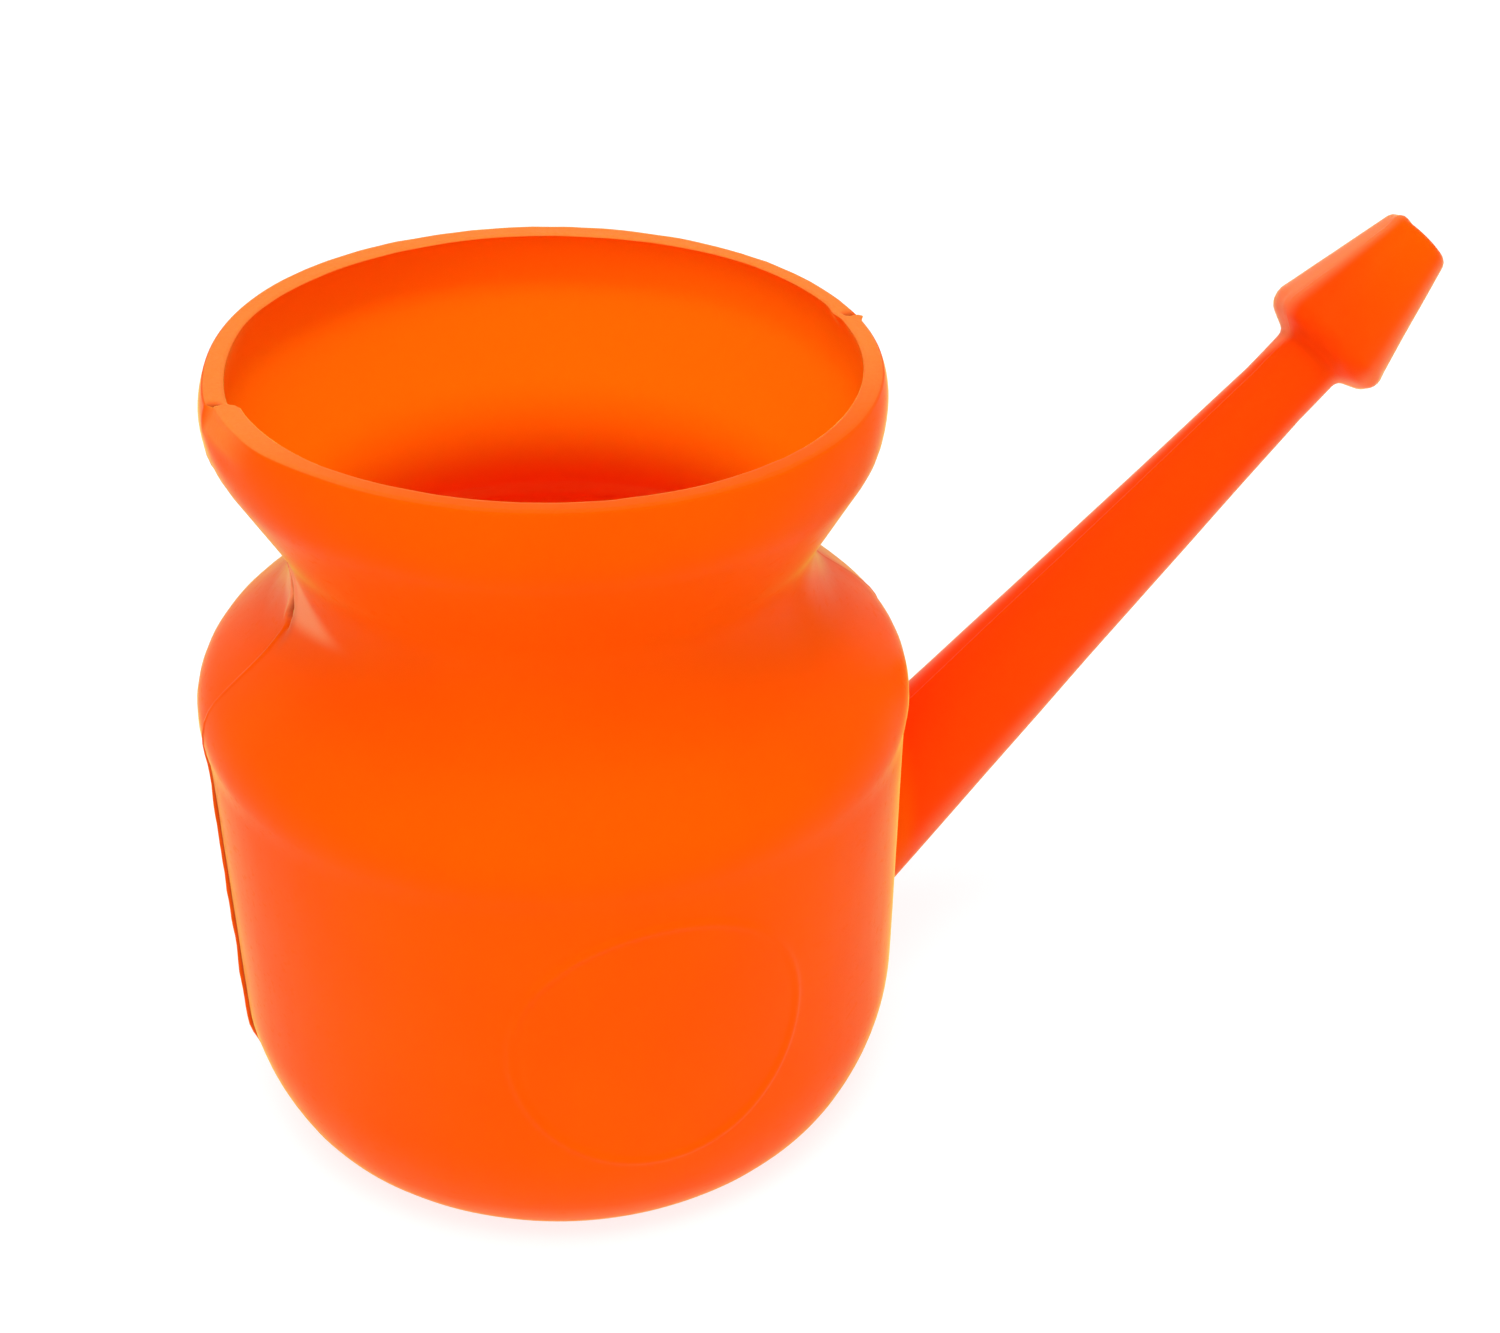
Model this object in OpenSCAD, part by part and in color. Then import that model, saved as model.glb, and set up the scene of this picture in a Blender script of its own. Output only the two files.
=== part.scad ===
// Neti pot, blow moulded in one piece: a round pot with a flared mouth, a narrow waist
// and a spout that climbs at an angle to a cone shaped nose piece with its outlet.
// Millimetres. The Z axis is the pot's axis, Z = 0 is the surface it stands on, and the
// spout points along +X. The mould's parting plane is Y = 0.

/* [Pot] */
// Height of the cut rim above the table
pot_h = 105.6; // [98:0.2:116]
// Diameter of the straight wall
body_d = 87.6; // [80:0.2:96]
// How far the rounded shoulder stands proud of the wall
shoulder_proud = 0.4; // [0.1:0.1:1.2]
// Radius of the shallow groove where the shoulder meets the wall
groove_r = 8.5; // [4:0.5:14]
// Thickness of the moulded wall
wall = 2; // [1.4:0.1:3]

/* [Waist and mouth] */
// Height from the shoulder's widest line up to the waist's narrowest
shoulder_to_waist = 20; // [17:0.2:24]
// Diameter at the narrowest line of the waist
waist_d = 63; // [56:0.2:70]
// Radius of the hollow round the waist, which the round shoulder and mouth take up in turn
waist_r = 11.5; // [8:0.5:13.5]
// Height from the waist's narrowest line up to the mouth's widest
waist_to_mouth = 18.4; // [16.4:0.2:23]
// Largest diameter of the flared mouth
mouth_d = 78; // [72:0.2:84]
// Radius over the mouth's widest line, which turns the wall in towards the rim
mouth_over_r = 16; // [11:0.5:30]
// Height from the mouth's widest line up to the cut rim
mouth_to_rim = 6.2; // [3:0.2:7.4]

/* [Base] */
// Radius that starts to draw the wall in above the corner
heel_r = 33; // [22:0.5:40]
// Lean of the wall where this heel meets the corner, in degrees
heel_lean = 24; // [10:1:36]
// Radius of the corner that the pot stands on
corner_r = 10; // [7:0.5:14]
// Width of the flat ring that touches the table
stand_w = 4; // [2:0.5:8]
// Height of the hollow under the base
push_up = 1.6; // [0.8:0.1:3]

/* [Spout] */
// Climb of the spout, in degrees
spout_angle = 45; // [38:1:52]
// Height where the spout's axis meets the wall
spout_z = 28.8; // [25:0.2:36]
// Outer diameter of the spout at the wall
spout_root_d = 19; // [16:0.2:21]
// Length of the spout along its axis, from the wall to the nose piece
spout_l = 88.2; // [76:0.2:100]
// Outer diameter of the even neck behind the nose piece
neck_d = 10.2; // [8.6:0.1:12]
// Length of this neck
neck_l = 7; // [3:0.5:14]
// Thickness of the wall of spout and nose piece
spout_wall = 1.8; // [1.2:0.1:2.2]

/* [Nose piece] */
// Largest diameter of the nose piece
nose_d = 18.6; // [16:0.2:22]
// Diameter of the nose piece at its tip, before its edge is rounded
nose_tip_d = 10.4; // [9.4:0.2:13]
// Length of the nose piece along the spout's axis
nose_l = 21.4; // [17:0.2:27]
// Slope of the nose piece's back face, in degrees
nose_back = 24; // [5:1:35]
// Radius in the corner between the neck and this back face
nose_root_r = 1.4; // [0.6:0.1:2.2]
// Radius round the nose piece's back edge
nose_back_r = 2.6; // [2:0.1:3.4]
// Radius round the nose piece's tip
nose_tip_r = 1.3; // [0.6:0.1:1.7]
// Diameter of the outlet in the tip
outlet_d = 5; // [3:0.1:6]

/* [Hidden] */
$fn = 96;
// Straight pieces that stand for a quarter turn of an outline
turn_steps = 14;
// Length by which a cut runs past what it cuts
past = 1;

// Points of an arc round c, from angle a0 to angle a1
function arc(c, r, a0, a1) =
    let (n = max(1, ceil(abs(a1 - a0) / 90 * turn_steps)))
    [for (i = [0:n]) c + r * [cos(a0 + (a1 - a0) * i / n), sin(a0 + (a1 - a0) * i / n)]];

// Direction square to the line that touches circle 1 and circle 2, seen from circle 1:
// the line passes between them when reach is r1 + r2, and outside both when it is r1 - r2
function touching(c1, c2, reach, side) =
    let (d = c2 - c1)
    atan2(d[1], d[0]) + side * acos(reach / norm(d));

// Heights of the pot's widest and narrowest lines
mouth_z = pot_h - mouth_to_rim;
waist_z = mouth_z - waist_to_mouth;
shoulder_z = waist_z - shoulder_to_waist;

// The shoulder and the underside of the mouth take the height that the waist leaves them,
// so a straight slope joins each to the waist at any diameter
shoulder_r = shoulder_to_waist - waist_r;
mouth_under_r = waist_to_mouth - waist_r;

// Centres of the round parts of the pot's outline, as [radius, height]
over_c = [mouth_d / 2 - mouth_over_r, mouth_z];
under_c = [mouth_d / 2 - mouth_under_r, mouth_z];
waist_c = [waist_d / 2 + waist_r, waist_z];
shoulder_c = [body_d / 2 + shoulder_proud - shoulder_r, shoulder_z];
groove_out = body_d / 2 + groove_r - shoulder_c[0];
groove_down = sqrt(pow(shoulder_r + groove_r, 2) - pow(groove_out, 2));
groove_c = shoulder_c + [groove_out, -groove_down];
corner_c = [body_d / 2 - heel_r + (heel_r - corner_r) * cos(heel_lean), corner_r];
heel_c = [body_d / 2 - heel_r, corner_r + (heel_r - corner_r) * sin(heel_lean)];

// Angles at which one round part of the outline hands over to the next
groove_a = atan2(groove_down, groove_out);
shoulder_a = touching(shoulder_c, waist_c, shoulder_to_waist, -1);
mouth_a = touching(under_c, waist_c, waist_to_mouth, 1);

// Outline of the wall from the floor to the rim, set in by t from the outside
function wall_outline(t) = concat(
    arc(corner_c, corner_r - t, -90, -heel_lean),
    arc(heel_c, heel_r - t, -heel_lean, 0),
    arc(groove_c, groove_r + t, 180, 180 - groove_a),
    arc(shoulder_c, shoulder_r - t, -groove_a, shoulder_a),
    arc(waist_c, waist_r + t, shoulder_a - 180, mouth_a - 180),
    arc(under_c, mouth_under_r - t, mouth_a, 0),
    arc(over_c, mouth_over_r - t, 0, asin(mouth_to_rim / (mouth_over_r - t))));

// Outline of the domed hollow under the base, from the axis out, raised by t
dome_edge = corner_c[0] - stand_w;
dome_r = (pow(dome_edge, 2) + pow(push_up, 2)) / (2 * push_up);
function dome_outline(t) =
    arc([0, push_up - dome_r], dome_r + t, 90, 90 - asin(dome_edge / dome_r));

module pot_form() {
    rotate_extrude()
        polygon(concat(dome_outline(0), wall_outline(0), [[0, pot_h]]));
}

module pot_hollow() {
    inside = wall_outline(wall);
    rim_r = inside[len(inside) - 1][0];
    rotate_extrude()
        polygon(concat(dome_outline(wall), inside, [[rim_r, pot_h + past], [0, pot_h + past]]));
}

// The spout starts inside the pot, deep enough for its whole end to clear the wall
root_s = -(spout_root_d / 2 * tan(spout_angle) + 4 * wall);
neck_s = spout_l - neck_l;
root_grow = (spout_root_d - neck_d) / 2 / neck_s;
function spout_r(s) = spout_root_d / 2 - root_grow * s;

// Centres of the round parts of the nose piece's outline, as [radius, distance along the
// spout's axis from the wall]
nose_s = spout_l + nose_l;
root_c = [neck_d / 2 + nose_root_r, spout_l - nose_root_r * (1 - sin(nose_back)) / cos(nose_back)];
back_run = nose_d / 2 - nose_back_r * (1 - sin(nose_back)) - neck_d / 2;
back_c = [nose_d / 2 - nose_back_r, spout_l + back_run * tan(nose_back) + nose_back_r * cos(nose_back)];
tip_c = [nose_tip_d / 2 - nose_tip_r, nose_s - nose_tip_r];
nose_a = touching(back_c, tip_c, nose_back_r - nose_tip_r, -1);

// Outline of the spout from s0 to the nose piece's front, set in by t from the outside
function spout_outline(s0, t) = concat(
    [[spout_r(s0) - t, s0], [neck_d / 2 - t, neck_s]],
    arc(root_c, nose_root_r + t, 180, 90 + nose_back),
    arc(back_c, nose_back_r - t, nose_back - 90, nose_a));

// Sets what follows on the spout's axis, with +Z along the spout and zero at the wall
module on_spout() {
    translate([body_d / 2, 0, spout_z])
        rotate([0, 90 - spout_angle, 0])
            children();
}

module spout_form() {
    rotate_extrude()
        polygon(concat(
            [[0, root_s]],
            spout_outline(root_s, 0),
            arc(tip_c, nose_tip_r, nose_a, 90),
            [[0, nose_s]]));
}

// Passage through the spout, with a flat front inside the nose piece, and its outlet
module spout_passage() {
    t = spout_wall;
    in_s = root_s - past;
    front_s = nose_s - t;
    front_r = tip_c[0] - (t - nose_tip_r) * (1 - sin(nose_a)) / cos(nose_a);
    rotate_extrude()
        polygon(concat([[0, in_s]], spout_outline(in_s, t), [[front_r, front_s], [0, front_s]]));
    translate([0, 0, front_s - past])
        cylinder(d = outlet_d, h = t + 2 * past);
}

module pot() {
    color("orangered")
        difference() {
            union() {
                pot_form();
                on_spout() spout_form();
            }
            pot_hollow();
            on_spout() spout_passage();
        }
}

pot();
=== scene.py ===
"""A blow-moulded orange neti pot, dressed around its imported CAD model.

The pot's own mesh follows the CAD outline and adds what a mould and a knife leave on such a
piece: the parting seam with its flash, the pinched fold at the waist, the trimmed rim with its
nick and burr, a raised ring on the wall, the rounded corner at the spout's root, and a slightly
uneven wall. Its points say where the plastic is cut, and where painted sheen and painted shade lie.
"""

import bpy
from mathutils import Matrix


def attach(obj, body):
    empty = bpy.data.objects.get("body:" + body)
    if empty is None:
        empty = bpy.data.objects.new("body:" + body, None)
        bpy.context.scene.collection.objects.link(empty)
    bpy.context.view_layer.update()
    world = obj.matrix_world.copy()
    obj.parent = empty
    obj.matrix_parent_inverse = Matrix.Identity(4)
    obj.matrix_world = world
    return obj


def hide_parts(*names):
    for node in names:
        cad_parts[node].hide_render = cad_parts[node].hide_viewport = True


bl_info = {
    "name": "Blow-moulded neti pot",
    "version": (1, 0, 0),
    "blender": (4, 5, 0),
    "location": "View3D > Sidebar > Neti Pot",
    "description": "Builds a neti pot with its moulding marks, its plastic and a plain studio",
    "category": "Object",
}

from math import acos, asin, atan2, cos, exp, hypot, pi, radians, sin, sqrt, tan

import bmesh
import bpy
from bpy.props import FloatProperty, FloatVectorProperty, PointerProperty
from mathutils import Matrix, Vector, noise

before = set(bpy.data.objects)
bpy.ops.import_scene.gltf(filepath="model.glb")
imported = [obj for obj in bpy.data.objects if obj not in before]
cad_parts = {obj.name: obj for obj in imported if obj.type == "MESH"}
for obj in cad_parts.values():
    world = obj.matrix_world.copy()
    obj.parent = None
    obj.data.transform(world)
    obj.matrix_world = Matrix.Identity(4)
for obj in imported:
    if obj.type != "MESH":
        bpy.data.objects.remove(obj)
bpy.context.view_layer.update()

BODY = "root"
NODE = "pot"
MM = 0.001
TAU = 2 * pi


# Sizes, marks and colours


def length(name, description, mm):
    """A size in the scene's own unit, from its value in millimetres."""
    return FloatProperty(
        name=name, description=description, default=mm * MM, unit="LENGTH", precision=4
    )


def turn(name, description, degrees):
    """An angle, from its value in degrees."""
    return FloatProperty(
        name=name, description=description, default=radians(degrees), subtype="ANGLE"
    )


def colour(name, description, value):
    """A colour, as linear red, green and blue."""
    return FloatVectorProperty(
        name=name, description=description, subtype="COLOR", size=3, min=0, max=1, default=value
    )


def power(name, description, watts):
    """The power of a lamp."""
    return FloatProperty(name=name, description=description, default=watts, unit="POWER")


class PotSizes(bpy.types.PropertyGroup):
    """Outline of the pot, as the CAD model has it"""

    height: length("Height", "Height of the cut rim above the table", 105.6)
    body: length("Body", "Diameter of the straight wall", 87.6)
    shoulder_proud: length("Shoulder", "How far the shoulder stands proud of the wall", 0.4)
    groove_round: length("Groove radius", "Radius of the groove under the shoulder", 8.5)
    wall: length("Wall", "Thickness of the moulded wall", 2.0)
    shoulder_to_waist: length("Shoulder to waist", "Height between these two lines", 20.0)
    waist: length("Waist", "Diameter at the narrowest line", 63.0)
    waist_round: length("Waist radius", "Radius of the hollow round the waist", 11.5)
    waist_to_mouth: length("Waist to mouth", "Height between these two lines", 18.4)
    mouth: length("Mouth", "Largest diameter of the flared mouth", 78.0)
    mouth_over: length("Mouth radius", "Radius that turns the wall in towards the rim", 16.0)
    mouth_to_rim: length("Mouth to rim", "Height from the widest line to the rim", 6.2)
    heel_round: length("Heel radius", "Radius that draws the wall in near the base", 33.0)
    heel_lean: turn("Heel lean", "Lean of the wall where the heel meets the corner", 24.0)
    corner_round: length("Corner radius", "Radius of the corner above the table", 10.0)
    stand: length("Stand", "Width of the flat ring that touches the table", 4.0)
    push_up: length("Push-up", "Height of the hollow under the base", 1.6)


class SpoutSizes(bpy.types.PropertyGroup):
    """Spout and nose piece, as the CAD model has them"""

    climb: turn("Climb", "Angle of the spout above the table", 45.0)
    foot: length("Foot", "Height where the spout's axis meets the wall", 28.8)
    root: length("Root", "Outer diameter at the wall", 19.0)
    reach: length("Reach", "Length from the wall to the nose piece", 88.2)
    neck: length("Neck", "Outer diameter of the even neck", 10.2)
    neck_run: length("Neck length", "Length of the even neck", 7.0)
    wall: length("Spout wall", "Thickness of the spout's wall", 1.8)
    nose: length("Nose piece", "Largest diameter of the nose piece", 18.6)
    tip: length("Tip", "Diameter of the nose piece at its tip", 10.4)
    nose_run: length("Nose length", "Length of the nose piece", 21.4)
    back_slope: turn("Back slope", "Slope of the nose piece's back face", 24.0)
    root_round: length("Nose root radius", "Radius between neck and back face", 1.4)
    back_round: length("Back radius", "Radius round the back edge", 2.6)
    tip_round: length("Tip radius", "Radius round the tip", 1.3)
    outlet: length("Outlet", "Diameter of the outlet", 5.0)
    blend: length("Root blend", "Rounding in the corner between spout and wall", 0.9)
    slim: length("Slimmer middle", "How much the tube's radius falls below a straight taper", 0.13)
    sag: turn("Sag", "How much less the tube climbs than the whole spout", 0.7)
    tilt: turn("Nose tilt", "How much more the nose piece climbs than the tube", 2.4)
    bend_run: length("Bend", "Length over which the neck bends up to the nose piece", 10.0)


class MouldMarks(bpy.types.PropertyGroup):
    """What the mould and the trimming knife left"""

    seam_width: length("Seam width", "Half width of the parting seam", 0.22)
    seam_height: length("Seam height", "How far the seam stands proud", 0.14)
    flash_height: length("Flash height", "How far the flash beside the wall stands proud", 0.42)
    crease_depth: length("Crease depth", "Depth of the pinched fold at the waist", 0.8)
    pinch: length("Base pinch", "Height of the pinched line across the base", 0.35)
    uneven: length("Unevenness", "How far the wall wanders from true", 0.12)
    swell: length("Mouth swell", "How far the mouth bulges on the spout's side", 0.9)
    step_out: length("Mouth step", "How far the mouth bulges at the fold's side", 1.4)
    facet: length("Facet", "Depth of the knife's facet below the rim", 0.35)
    nick: length("Nick", "Depth of the knife's nick in the rim", 0.8)
    chamfer: length("Chamfer", "How far the knife slipped outwards below the nick", 0.8)
    rim_step: length("Rim step", "How far the rim's inner edge steps in below the nick", 1.1)
    burr: length("Burr", "How far the burr sticks out of the rim", 0.55)
    rim_edge: length("Rim edge", "Rounding of the rim's cut edges", 0.22)
    ring: length("Ring radius", "Radius of the raised ring on the wall", 18.5)
    line_height: length("Line height", "How far the ring stands proud", 0.28)
    line_width: length("Line width", "Half width of the ring's line", 0.5)
    ring_up: length("Ring centre", "Height of the ring's centre above the table", 35.5)
    ring_turn: turn("Ring place", "Where the ring's centre is, round from the spout", -92.0)
    step: length("Mesh step", "Largest step between neighbouring points of the wall", 1.5)


class PlasticLook(bpy.types.PropertyGroup):
    """The dyed plastic"""

    dyed: colour("Plastic", "Colour of the dyed plastic", (0.94, 0.096, 0.0004))
    # The inner face's lighter, yellower colours are painted light, lighter still far below the rim
    within: colour("Inner face", "Colour of the inner face near the rim", (0.999, 0.165, 0.001))
    deep_painted_light: colour("Deep inside", "Colour of the inner face far below the rim", (0.999, 0.26, 0.001))
    # The spout's redder colour is painted shade
    tube: colour("Spout", "Colour of the drawn plastic in the spout's tube", (0.95, 0.058, 0.001))
    cut: colour("Cut edge", "Colour of the paler, knife-cut rim", (0.98, 0.205, 0.035))
    # Painted sheen and reflection, in pale bands and patches
    strained: colour("Strained", "Colour of bent or pulled, whitened plastic", (0.97, 0.3, 0.12))
    # Painted shade, in the fold, the nick and beside the seam and flash
    shade: colour("Folds", "Colour in the fold, the nick and beside the flash", (0.3, 0.026, 0.002))
    roughness: FloatProperty(
        name="Roughness", description="Roughness of the moulded skin", default=0.36, min=0, max=1
    )


class StudioSet(bpy.types.PropertyGroup):
    """Camera, lamps and floor"""

    camera_at: FloatVectorProperty(
        name="Camera",
        description="Where the camera stands",
        subtype="TRANSLATION",
        unit="LENGTH",
        size=3,
        default=(-64.2 * MM, -230.2 * MM, 216.5 * MM),
    )
    heading: turn("Heading", "Direction of view, round from the Y axis towards X", 28.2)
    look_down: turn("Look down", "Angle of the view below the horizon", 36.51)
    roll: turn("Roll", "Turn of the camera about its own axis", 5.1)
    lens: FloatProperty(
        name="Lens", description="Focal length on a 36 mm wide frame", default=52.8, unit="CAMERA"
    )
    shift: FloatVectorProperty(
        name="Shift",
        description="Framing, as a share of its width",
        size=2,
        default=(-0.1411, 0.1038),
    )
    overhead: FloatProperty(
        name="Overhead", description="Strength of the surroundings straight above", default=0.85
    )
    daylight: FloatProperty(
        name="Surroundings", description="Strength of the surroundings at the horizon", default=0.52
    )
    left: power("Left lamp", "Power of the lamp at front left", 2.6)
    top: power("Top lamp", "Power of the lamp overhead", 5.7)
    right: power("Right lamp", "Power of the lamp at front right", 2.05)
    floor_size: length("Floor", "Size of the studio floor", 8000.0)
    floor_colour: colour("Floor colour", "Colour of the floor", (0.9, 0.9, 0.9))


# Outlines


def mm(*values):
    """Lengths in the scene's own unit, from their values in millimetres."""
    return tuple(value * MM for value in values)


def wrapped(angle):
    """The same angle, from half a turn back to half a turn on."""
    return (angle + pi) % TAU - pi


def smooth(low, high, value):
    """0 below low, 1 above high and an even turn between."""
    share = min(max((value - low) / (high - low), 0.0), 1.0)
    return share * share * (3 - 2 * share)


def band(stretch, value):
    """1 within a stretch and 0 outside it. The stretch names where this starts to rise, is
    full, starts to fall and has ended."""
    rises, full, falls, ended = stretch
    return smooth(rises, full, value) * (1 - smooth(falls, ended, value))


def hump(centre, width, value):
    """A soft hump, 1 at its centre."""
    return exp(-(((value - centre) / width) ** 2))


def wander(place, scale, seed):
    """Smooth unevenness between -1 and 1, the same at every run."""
    return noise.noise(Vector(place) / scale + Vector((seed, 2.7 * seed, -seed)))


def along_seam(x, z, scale, seed):
    """Unevenness along the parting seam, which differs between the pot's two sides."""
    side = 10 * MM if x < 0 else -10 * MM
    return wander((side, 0, z), scale, seed)


class Arc:
    """A round stretch of an outline. side is 1 where the outside of the wall is away from the
    centre, and -1 where it is towards it."""

    def __init__(self, centre, radius, start, end, side=1):
        self.centre = centre
        self.radius = radius
        self.start = start
        self.end = end
        self.side = side

    def points(self, inset=0.0, step=0.25 * MM):
        """Radius and height of each point, and its outward direction."""
        radius = self.radius - inset * self.side
        count = max(2, int(abs(self.end - self.start) * self.radius / step) + 1)
        found = []
        for i in range(count + 1):
            angle = self.start + (self.end - self.start) * i / count
            out = Vector((cos(angle), sin(angle)))
            place = Vector(self.centre) + radius * out
            found.append((place[0], place[1], self.side * out[0], self.side * out[1]))
        return found


def touching(first, second, reach, side):
    """Direction, from the first circle, square to the line that touches both circles."""
    across = (second[0] - first[0], second[1] - first[1])
    return atan2(across[1], across[0]) + side * acos(reach / hypot(*across))


def pot_outline(pot):
    """The wall's outline as arcs, from the flat ring up to the rim."""
    shoulder_round = pot.shoulder_to_waist - pot.waist_round
    under_round = pot.waist_to_mouth - pot.waist_round
    mouth_z = pot.height - pot.mouth_to_rim
    waist_z = mouth_z - pot.waist_to_mouth
    over = (pot.mouth / 2 - pot.mouth_over, mouth_z)
    under = (pot.mouth / 2 - under_round, mouth_z)
    waist = (pot.waist / 2 + pot.waist_round, waist_z)
    shoulder = (pot.body / 2 + pot.shoulder_proud - shoulder_round, waist_z - pot.shoulder_to_waist)
    groove_out = pot.body / 2 + pot.groove_round - shoulder[0]
    groove_down = sqrt((shoulder_round + pot.groove_round) ** 2 - groove_out**2)
    groove = (shoulder[0] + groove_out, shoulder[1] - groove_down)
    lean = pot.heel_lean
    lower = pot.heel_round - pot.corner_round
    corner = (pot.body / 2 - pot.heel_round + lower * cos(lean), pot.corner_round)
    heel = (pot.body / 2 - pot.heel_round, pot.corner_round + lower * sin(lean))
    groove_turn = atan2(groove_down, groove_out)
    shoulder_turn = touching(shoulder, waist, pot.shoulder_to_waist, -1)
    mouth_turn = touching(under, waist, pot.waist_to_mouth, 1)
    return [
        Arc(corner, pot.corner_round, -pi / 2, -lean),
        Arc(heel, pot.heel_round, -lean, 0),
        Arc(groove, pot.groove_round, pi, pi - groove_turn, -1),
        Arc(shoulder, shoulder_round, -groove_turn, shoulder_turn),
        Arc(waist, pot.waist_round, shoulder_turn - pi, mouth_turn - pi, -1),
        Arc(under, under_round, mouth_turn, 0),
        Arc(over, pot.mouth_over, 0, asin(pot.mouth_to_rim / pot.mouth_over)),
    ]


def base_outline(pot, edge):
    """The domed hollow under the base, from the axis to the flat ring's inner edge."""
    radius = (edge**2 + pot.push_up**2) / (2 * pot.push_up)
    dome = Arc((0, pot.push_up - radius), radius, pi / 2, pi / 2 - asin(edge / radius))
    return [(r, z, -nr, -nz) for r, z, nr, nz in dome.points()]


def nose_outline(spout):
    """Nose piece: its root, back and tip, as radius and distance along the spout."""
    slope = spout.back_slope
    end = spout.reach + spout.nose_run
    rise = (1 - sin(slope)) / cos(slope)
    root = (spout.neck / 2 + spout.root_round, spout.reach - spout.root_round * rise)
    run = spout.nose / 2 - spout.back_round * (1 - sin(slope)) - spout.neck / 2
    back_s = spout.reach + run * tan(slope) + spout.back_round * cos(slope)
    back = (spout.nose / 2 - spout.back_round, back_s)
    tip = (spout.tip / 2 - spout.tip_round, end - spout.tip_round)
    cone = touching(back, tip, spout.back_round - spout.tip_round, -1)
    return [
        Arc(root, spout.root_round, pi, pi / 2 + slope, -1),
        Arc(back, spout.back_round, slope - pi / 2, cone),
        Arc(tip, spout.tip_round, cone, pi / 2),
    ]


def part_way(first, second, share):
    """A point of an outline, this share of the way between two others, and its direction."""
    r, z, nr, nz = (p + (q - p) * share for p, q in zip(first, second))
    size = hypot(nr, nz)
    return r, z, nr / size, nz / size


def spaced(points, step_at):
    """Points along an outline, each step_at(point) from the last, with their directions."""
    runs = [0.0]
    for a, b in zip(points, points[1:]):
        runs.append(runs[-1] + hypot(b[0] - a[0], b[1] - a[1]))
    marks = [0.0]
    i = 0
    while marks[-1] < runs[-1]:
        while runs[i + 1] < marks[-1] and i < len(runs) - 2:
            i += 1
        marks.append(marks[-1] + step_at(points[i]))
    scale = runs[-1] / marks[-1]
    found = []
    i = 0
    for mark in marks:
        mark *= scale
        while runs[i + 1] < mark and i < len(runs) - 2:
            i += 1
        share = (mark - runs[i]) / max(runs[i + 1] - runs[i], 1e-9)
        found.append(part_way(points[i], points[i + 1], share))
    return found


# The pot's wall


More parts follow.
